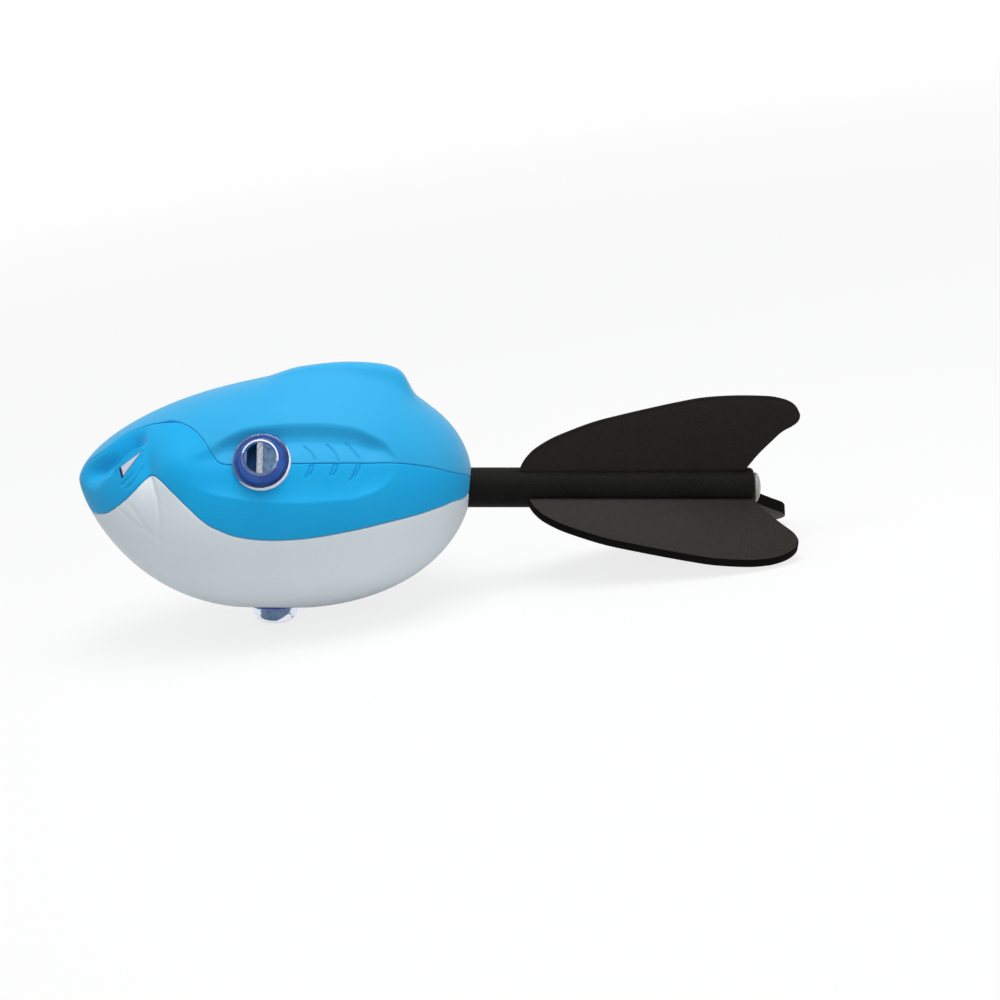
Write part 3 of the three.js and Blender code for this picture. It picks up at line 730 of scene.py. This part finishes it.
def plastic(name, colour, dark, roughness, scale=900, finish=()):
    """Injection-moulded plastic: a faint flow in its colour and a slightly uneven gloss."""
    material, tree, surface = new_material(name)
    where = node(tree, "ShaderNodeTexCoord", (-900, 0)).outputs["Object"]
    flow = node(tree, "ShaderNodeTexNoise", (-700, 0), {"Scale": scale, "Detail": 4})
    tree.links.new(where, flow.inputs["Vector"])
    mask = value_map(tree, flow.outputs["Fac"], 0.35, 0.65, 0, 1, (-500, 200))
    tree.links.new(tint(tree, mask, colour, dark, (-250, 200)), surface.inputs["Base Color"])
    grained(tree, surface, flow.outputs["Fac"], roughness * 0.8, roughness * 1.3,
            flow.outputs["Fac"], strength=0.1, distance=0.0001)
    set_inputs(surface, dict(finish))
    return material


clear = plastic("clear_acrylic", (0.93, 0.96, 1.0), (0.88, 0.93, 1.0), roughness=0.04, scale=300,
                finish={"Transmission Weight": 1, "IOR": 1.01, "Coat Weight": 0.3})
clear_edge = plastic("acrylic_edge", (0.9, 0.96, 1.0), (0.8, 0.9, 1.0), roughness=0.2, scale=700,
                     finish={"Transmission Weight": 0.96, "IOR": 1.5, "Coat Weight": 1,
                             "Coat IOR": 1.45, "Coat Roughness": 0.15})
# Painted highlight: a pale, rough white standing for the glints on the flange's and the window's
# edges
painted_glint = plastic("painted_glint_edge", (0.94, 0.96, 0.98), (0.80, 0.86, 0.93), roughness=0.3,
                  scale=1500)
deep_blue = plastic("deep_blue_plastic", (0.008, 0.085, 0.37), (0.018, 0.04, 0.25),
                    roughness=0.35, scale=160, finish={"Specular IOR Level": 0.2})
# Painted shade deep in the blowing slot
painted_slot_shade = plastic("chamber_shade", (0.004, 0.06, 0.2), (0.004, 0.12, 0.36), roughness=0.4,
               scale=250, finish={"Specular IOR Level": 0.2})
slate = plastic("slate_plastic", (0.065, 0.13, 0.25), (0.13, 0.21, 0.33), roughness=0.3,
                scale=500)
silver = plastic("silvered_lip", (0.27, 0.31, 0.38), (0.62, 0.66, 0.73), roughness=0.2,
                 scale=1500)


def quarter(r0, z0, r1, z1, steps=6):
    """Quarter-oval from (r0, z0), where it is upright, to (r1, z1), where it is level."""
    return [(r1 + (r0 - r1) * math.cos(math.pi / 2 * k / steps),
             z0 + (z1 - z0) * math.sin(math.pi / 2 * k / steps)) for k in range(steps + 1)]


FLANGE_RADIUS = 10.98
DOME_PROFILE = ([(FLANGE_RADIUS, 0.15)] + quarter(FLANGE_RADIUS, 0.5, 10.3, 1.25, 8)
                + [(10.15, 1.22), (10.0, 1.1), (9.85, 0.92), (9.75, 0.8)]
                + quarter(9.6, 0.8, 6.95, 7.3, 14)
                + [(6.9, 7.5), (6.75, 7.64), (6.5, 7.77), (6.3, 7.85), (6.15, 7.83),
                   (6.05, 7.7), (6.05, 7.0), (6.15, 6.85)]
                + quarter(8.9, 0.3, 6.3, 6.8, 14)[::-1]
                + [(8.9, 0.0), (10.83, 0.0), (FLANGE_RADIUS, 0.15)])
CUP_PROFILE = [(0, -16.3), (8.9, -16.3), (9.4, -15.8), (9.4, -0.25), (10.6, -0.25),
               (10.6, -0.08), (8.5, -0.08), (8.45, -0.3), (4.9, -0.3), (4.6, -0.6),
               (4.6, -1.7), (8.2, -1.7), (8.2, -15.1), (0, -15.1)]
# Width and direction of the painted highlight on the flange's edge
FLANGE_GLINT_WIDTH, FLANGE_GLINT_ANGLE = 1.05, -50
SHOULDER_RADIUS, SHOULDER_HEIGHT = 9.8, 0.5
WINDOW_EDGE_RADIUS, WINDOW_EDGE_HEIGHT = 6.3, 7.4
# Arc of the window's edge under a painted highlight, in radians
WINDOW_GLINT_START, WINDOW_GLINT_END = -0.2, 2.9
NEAR = 0.05
POST_TOP_RADIUS, POST_FOOT_RADIUS, POST_HEIGHT = 5.7, 5.9, 7.1
SLOT_END, LIP_START, LIP_END = -4.95, -1.15, 0.95
SLOT_FLOOR, SLOT_SHADE_HEIGHT, RAMP_DROP = 1.2, 4.5, 2.2
INSERT_FLANGE = [(POST_FOOT_RADIUS, 2.1), (8.5, 1.9), (8.7, 1.7), (8.7, 0.0)]


def dome_material(spot):
    """0 for clear acrylic, 1 for its edges, and 2 for the painted highlights on the edges of the
    flange and the window.
    """
    aside, turn = math.hypot(spot.x, spot.y), math.atan2(spot.y, spot.x)
    # The painted highlight is widest on one side of the flange's edge and narrows round it;
    # another covers an arc of the window's edge.
    flange_glint = FLANGE_GLINT_WIDTH * max(0, math.cos(turn - math.radians(FLANGE_GLINT_ANGLE))) ** 0.8
    window_edge = aside > WINDOW_EDGE_RADIUS and spot.z > WINDOW_EDGE_HEIGHT
    if aside > FLANGE_RADIUS - flange_glint or (window_edge and WINDOW_GLINT_START < turn < WINDOW_GLINT_END):
        return 2
    return int(window_edge or (aside > SHOULDER_RADIUS and spot.z > SHOULDER_HEIGHT))


def insert_material(spot):
    """0 for slate, 1 for the silvered lip, 2 for the blue flange and 3 for the painted shade deep
    in the slot.
    """
    aside = math.hypot(spot.x, spot.y)
    if spot.z > POST_HEIGHT - NEAR and LIP_START < spot.x < LIP_END:
        return 1
    if spot.z < INSERT_FLANGE[0][1] + NEAR and aside > POST_FOOT_RADIUS - NEAR:
        return 2
    return 3 if spot.z < SLOT_SHADE_HEIGHT and aside < POST_FOOT_RADIUS - 2 * NEAR else 0


def whistle_insert():
    """A flanged post whose top is cut by the D-shaped slot, the lip and the ramp."""
    bm = bmesh.new()
    bmesh.ops.create_circle(bm, cap_ends=True, segments=96, radius=POST_TOP_RADIUS)
    for vert in verts_of(bmesh.ops.extrude_edge_only(bm, edges=bm.edges[:])):
        vert.co *= POST_FOOT_RADIUS / POST_TOP_RADIUS
    for cut in (SLOT_END, LIP_START, LIP_END):
        bmesh.ops.bisect_plane(bm, geom=bm.verts[:] + bm.edges[:] + bm.faces[:],
                               plane_co=(cut, 0, 0), plane_no=(1, 0, 0))
    for vert in bm.verts:
        past_lip = max(0, vert.co.x - LIP_END)
        vert.co.z = POST_HEIGHT - RAMP_DROP * past_lip / (POST_FOOT_RADIUS - LIP_END)
    slot = [f for f in bm.faces if SLOT_END < f.calc_center_median().x < LIP_START
            and max(v.co.xy.length for v in f.verts) < POST_TOP_RADIUS + NEAR]
    floor = verts_of(bmesh.ops.extrude_face_region(bm, geom=slot))
    bmesh.ops.delete(bm, geom=slot, context="FACES_ONLY")
    loose = [e for e in bm.edges if not e.link_faces]
    bmesh.ops.delete(bm, geom=loose, context="EDGES")
    for vert in floor:
        vert.co.z = SLOT_FLOOR
    for radius, height in INSERT_FLANGE:
        rim = [e for e in bm.edges if e.is_boundary]
        for vert in verts_of(bmesh.ops.extrude_edge_only(bm, edges=rim)):
            vert.co.xy *= radius / vert.co.xy.length
            vert.co.z = height
    bmesh.ops.holes_fill(bm, edges=[e for e in bm.edges if e.is_boundary])
    return bm


def spun(profile, steps=72):
    """Mesh of a closed or capped profile of (radius, height) rows turned about its own +Z."""
    bm = bmesh.new()
    add_spun(bm, profile, steps)
    return bm


def seated(bm, place, face_material=None):
    """Gives each face its material, and moves a whistle's piece into its pocket."""
    if face_material:
        for face in bm.faces:
            face.material_index = face_material(face.calc_center_median())
    bm.transform(place)
    return bm


for side, place in WHISTLES.items():
    bm = seated(spun(DOME_PROFILE, 96), place, dome_material)
    dome = in_scene(f"whistle_{side}_dome_clear", bm, "clear_plastic", clear, clear_edge, painted_glint,
                    sharp_angle=35)
    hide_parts(f"whistle_{side}_dome")

    bm = seated(spun(CUP_PROFILE), place)
    cup = in_scene(f"whistle_{side}_cup_chamber", bm, "deep_blue_plastic", deep_blue,
                   sharp_angle=35)
    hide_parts(f"whistle_{side}_cup")

    bm = seated(whistle_insert(), place, insert_material)
    mouth = in_scene(f"whistle_{side}_mouth_insert", bm, "slate_plastic", slate, silver,
                     deep_blue, painted_slot_shade, sharp_angle=30)
    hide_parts(f"whistle_{side}_mouth")

# Tail sleeve: a tube of black closed-cell foam over the core, one end glued into the head. The
# roots of the three fins are glued into slits in it, so the foam dips a little beside them.
black_foam, *_ = foam_material(
    "black_tube_foam", [(0.005, 0.0047, 0.0043), (0.008, 0.0075, 0.007), (0.035, 0.033, 0.03)],
    roughness=0.6, grain_scale=1600, pit_amount=0.4, bump=0.6,
    finish={"Specular IOR Level": 0.08})
SLEEVE_RADIUS, SLEEVE_BORE = 7.8, 5.4
SLEEVE_START, SLEEVE_END = 133.0, 262.6
END_LENGTH, END_DROP = 2.0, 1.5
CORE_END = SLEEVE_END - 30
STRAIGHT_ROWS, ROUND = 246, 120
DIP_ASIDE, DIP_WIDTH, DIP_DEPTH = 2.6, 0.55, 0.35
FINS = {"upper": (90, 171.7), "left": (216.3, 175), "right": (-36.3, 175)}
straight = SLEEVE_END - END_LENGTH - SLEEVE_START
profile = ([(SLEEVE_BORE, SLEEVE_START), (6.6, SLEEVE_START), (SLEEVE_RADIUS, SLEEVE_START)]
           + [(SLEEVE_RADIUS, SLEEVE_START + straight * k / STRAIGHT_ROWS)
              for k in range(1, STRAIGHT_ROWS)]
           + quarter(SLEEVE_RADIUS, SLEEVE_END - END_LENGTH, SLEEVE_RADIUS - END_DROP, SLEEVE_END)
           + [(6.1, SLEEVE_END), (5.8, SLEEVE_END), (SLEEVE_BORE, SLEEVE_END - 0.2),
              (SLEEVE_BORE, CORE_END), (SLEEVE_BORE, SLEEVE_START)])
LENGTHS = len(profile) - 1
bm = bmesh.new()
bmesh.ops.create_grid(bm, x_segments=LENGTHS, y_segments=ROUND, size=0.5)
for vert in bm.verts:
    radius, station = profile[round((vert.co.x + 0.5) * LENGTHS)]
    turn = math.tau * (vert.co.y + 0.5)
    for fin_turn, fin_start in FINS.values():
        if radius > SLEEVE_RADIUS - DIP_DEPTH and station > fin_start - 1:
            away = abs((math.degrees(turn) - fin_turn + 180) % 360 - 180)
            side = abs(math.radians(away) * SLEEVE_RADIUS - DIP_ASIDE)
            radius -= DIP_DEPTH * math.exp(-(side / DIP_WIDTH) ** 2) * (away < 60)
    vert.co = (station, -radius * math.cos(turn), radius * math.sin(turn))
bmesh.ops.remove_doubles(bm, verts=bm.verts, dist=MERGE)
sleeve = in_scene("tail_sleeve_foam", bm, "black_foam", black_foam)
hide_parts("tail_sleeve")

# Tail core and plug: a plastic tube that stiffens the sleeve and carries the head, closed at
# the tail by a pale grey moulded plug whose rounded head shows past the foam.
core_plastic = plastic("core_plastic", (0.26, 0.25, 0.24), (0.22, 0.21, 0.20), roughness=0.4)
for material_slot in frame["nodes"]["tail_core"].material_slots:
    material_slot.material = core_plastic
plug_plastic = plastic("plug_plastic", (0.42, 0.41, 0.385), (0.35, 0.34, 0.32), roughness=0.3)
PLUG_PROFILE = [(0, -8.0), (3.3, -8.0), (3.5, -7.8), (3.5, 0.0), (5.6, 0.0), (5.85, 0.25),
                *quarter(5.85, 0.45, 0.0, 2.6, 14)]
PLUG_GAP = 0.3
bm = spun(PLUG_PROFILE)
bm.transform(Matrix.Translation((SLEEVE_END + PLUG_GAP, 0, 0)) @ to_tail)
plug = in_scene("tail_plug_cap", bm, "grey_plastic", plug_plastic)
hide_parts("tail_plug")

# Fins: three, die-cut from black sheet foam 4.8 mm thick with its speckled skin on both faces
# and bare cut edges: a longer one up and two shorter ones drooping to the sides. Each is glued
# by its root into the sleeve.
fin_foam, tree, surface, colour = foam_material(
    "fin_sheet_foam", [(0.0055, 0.0051, 0.0045), (0.0085, 0.008, 0.007), (0.03, 0.028, 0.025)],
    roughness=0.4, grain_scale=2600, pit_amount=0.2, bump=0.7,
    finish={"Specular IOR Level": 0.16, "Specular Tint": (1.0, 0.95, 0.87, 1)})
flecks = value_map(tree, tree.nodes["Group"].outputs["Grain"], 0.4, 0.66, 0, 1, (-450, 400))
tree.links.new(tint(tree, flecks, colour, (0.0165, 0.0155, 0.0135), (-100, 300)),
               surface.inputs["Base Color"])
cut_edge, *_ = foam_material(
    "fin_cut_edge_foam", [(0.004, 0.0038, 0.0034), (0.006, 0.0056, 0.005), (0.002, 0.002, 0.002)],
    roughness=0.85, grain_scale=1500, pit_amount=0.8, bump=0.9,
    finish={"Specular IOR Level": 0.05})
FIN_THICKNESS, FIN_ROUND = 4.8, 0.3
ROOT_LENGTH, ROOT_HEIGHT = 86.4, 6.4
LEAD = [(0, 7.4), (1.2, 9.9), (2.9, 12.3), (5.8, 15.2), (11.5, 18.9), (18, 21.9), (29, 26.1),
        (41.5, 29.4), (52, 31.9), (61, 33.9), (70.8, 35.7), (83, 36.5)]
LONG_TIP = [(95.1, 36.3), (100, 35.6), (103.8, 34.4), (106.4, 32.6), (107.8, 30.3),
            (107.8, 28.3), (106.8, 26.6), (104.8, 25.1)]
SHORT_TIP = [(90.7, 35.9), (95, 34.8), (98.6, 33.2), (101.3, 31.1), (102.8, 29), (103.1, 27),
             (102.5, 25.1)]
TRAIL = [(101.1, 22.9), (97, 18.9), (92.6, 14.3), (89.4, 10.3), (87.2, 7.4)]


def rounded_line(points, steps):
    """Points of a smooth curve through the given ones."""
    points = [Vector(p) for p in points]
    ends = [points[0]] + points + [points[-1]]
    line = []
    for k in range(len(points) - 1):
        a, b, c, d = ends[k:k + 4]
        for j in range(steps):
            t = j / steps
            line.append(0.5 * (2 * b + (c - a) * t + (2 * a - 5 * b + 4 * c - d) * t * t
                               + (3 * b - a - 3 * c + d) * t ** 3))
    return line + [points[-1]]


for side, (turn, start) in FINS.items():
    bm = bmesh.new()
    tip = LONG_TIP if side == "upper" else SHORT_TIP
    outline = [(0, ROOT_HEIGHT), *rounded_line(LEAD + tip + TRAIL, 8),
               (ROOT_LENGTH, ROOT_HEIGHT)]
    ring = [bm.verts.new((x, y, -FIN_THICKNESS / 2)) for x, y in outline]
    for pair in zip(ring, ring[1:] + ring[:1]):
        bm.edges.new(pair)
    face = bmesh.ops.contextual_create(bm, geom=bm.edges[:])["faces"]
    grown = bmesh.ops.extrude_face_region(bm, geom=face)
    bmesh.ops.translate(bm, vec=(0, 0, FIN_THICKNESS), verts=verts_of(grown))
    rims = [e for e in bm.edges if abs(e.verts[0].co.z - e.verts[1].co.z) < 0.1]
    bmesh.ops.bevel(bm, geom=rims, offset=FIN_ROUND, offset_type="OFFSET", segments=3,
                    profile=0.5, affect="EDGES", material=-1)
    for face in bm.faces:
        face.normal_update()
        face.material_index = int(abs(face.normal.z) < 0.9)
    bm.transform(Matrix.Translation((start, 0, 0)) @ Matrix.Rotation(math.radians(turn), 4, "X"))
    fin = in_scene(f"fin_{side}_sheet", bm, "fin_foam", fin_foam, cut_edge, sharp_angle=30)
    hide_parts(f"fin_{side}")

# Studio: a plain pale floor and soft light from above. The camera sees the floor and the world
# nearly white, and so do reflections and the clear domes.


def background_rays(tree):
    """1 for the rays that see the white background."""
    rays = node(tree, "ShaderNodeLightPath", (-700, 300))
    seen = rays.outputs["Is Camera Ray"]
    for k, kind in enumerate(("Is Glossy Ray", "Is Transmission Ray")):
        either = node(tree, "ShaderNodeMath", (200 * k - 500, 300), operation="MAXIMUM")
        tree.links.new(seen, either.inputs[0])
        tree.links.new(rays.outputs[kind], either.inputs[1])
        seen = either.outputs[0]
    return seen


bm = bmesh.new()
bmesh.ops.create_grid(bm, x_segments=1, y_segments=1, size=6)
floor = linked_object("floor", bm)
pale, tree, surface = new_material("pale_floor")
set_inputs(surface, {"Roughness": 0.9, "Specular IOR Level": 0.1})
glow = node(tree, "ShaderNodeEmission", (0, -300), {"Color": (1, 1, 1, 1)})
mix = node(tree, "ShaderNodeMixShader", (300, 0))
seen = background_rays(tree)
tree.links.new(tint(tree, seen, (0.7, 0.7, 0.7), (0.9, 0.9, 0.9)), surface.inputs["Base Color"])
away = node(tree, "ShaderNodeVectorMath", (-300, 600), operation="LENGTH")
tree.links.new(node(tree, "ShaderNodeTexCoord", (-500, 600)).outputs["Object"], away.inputs[0])
white_share = value_map(tree, away.outputs["Value"], 0.4, 1.3, 0.8, 1, (-100, 600))
share = node(tree, "ShaderNodeMath", (100, 300), operation="MULTIPLY")
tree.links.new(white_share, share.inputs[1])
tree.links.new(seen, share.inputs[0])
tree.links.new(share.outputs[0], mix.inputs[0])
tree.links.new(surface.outputs[0], mix.inputs[1])
tree.links.new(glow.outputs[0], mix.inputs[2])
tree.links.new(mix.outputs[0], tree.nodes["Material Output"].inputs["Surface"])
floor.data.materials.append(pale)

world = bpy.data.worlds.new("studio")
bpy.context.scene.world = world
world.use_nodes = True
tree = world.node_tree
set_inputs(tree.nodes["Background"], {"Color": (0.94, 0.97, 1.0, 1), "Strength": 0.3})
white = node(tree, "ShaderNodeBackground", (0, -200), {"Color": (1, 1, 1, 1)})
mix = node(tree, "ShaderNodeMixShader", (250, 0))
tree.links.new(background_rays(tree), mix.inputs[0])
tree.links.new(tree.nodes["Background"].outputs[0], mix.inputs[1])
tree.links.new(white.outputs[0], mix.inputs[2])
tree.links.new(mix.outputs[0], tree.nodes["World Output"].inputs["Surface"])


def soft_lamp(name, place, look_at, size, power):
    data = bpy.data.lights.new(name, "AREA")
    data.shape, data.size, data.size_y, data.energy = "RECTANGLE", size, size, power
    lamp = bpy.data.objects.new(name, data)
    lamp.location = place
    lamp.rotation_euler = (Vector(look_at) - Vector(place)).to_track_quat("-Z", "Y").to_euler()
    bpy.context.collection.objects.link(lamp)


soft_lamp("key_lamp", (0.16, -0.14, 1.08), look_at=(0, 0, 0.05), size=0.7, power=8.8)
soft_lamp("nose_lamp", (-0.5, -0.25, 0.95), look_at=(-0.06, 0, 0.05), size=0.3, power=1.2)
soft_lamp("front_lamp", (0.5, -0.95, 0.35), look_at=(0, 0, 0.05), size=0.15, power=1.1)
bpy.context.scene.view_settings.view_transform = "Standard"
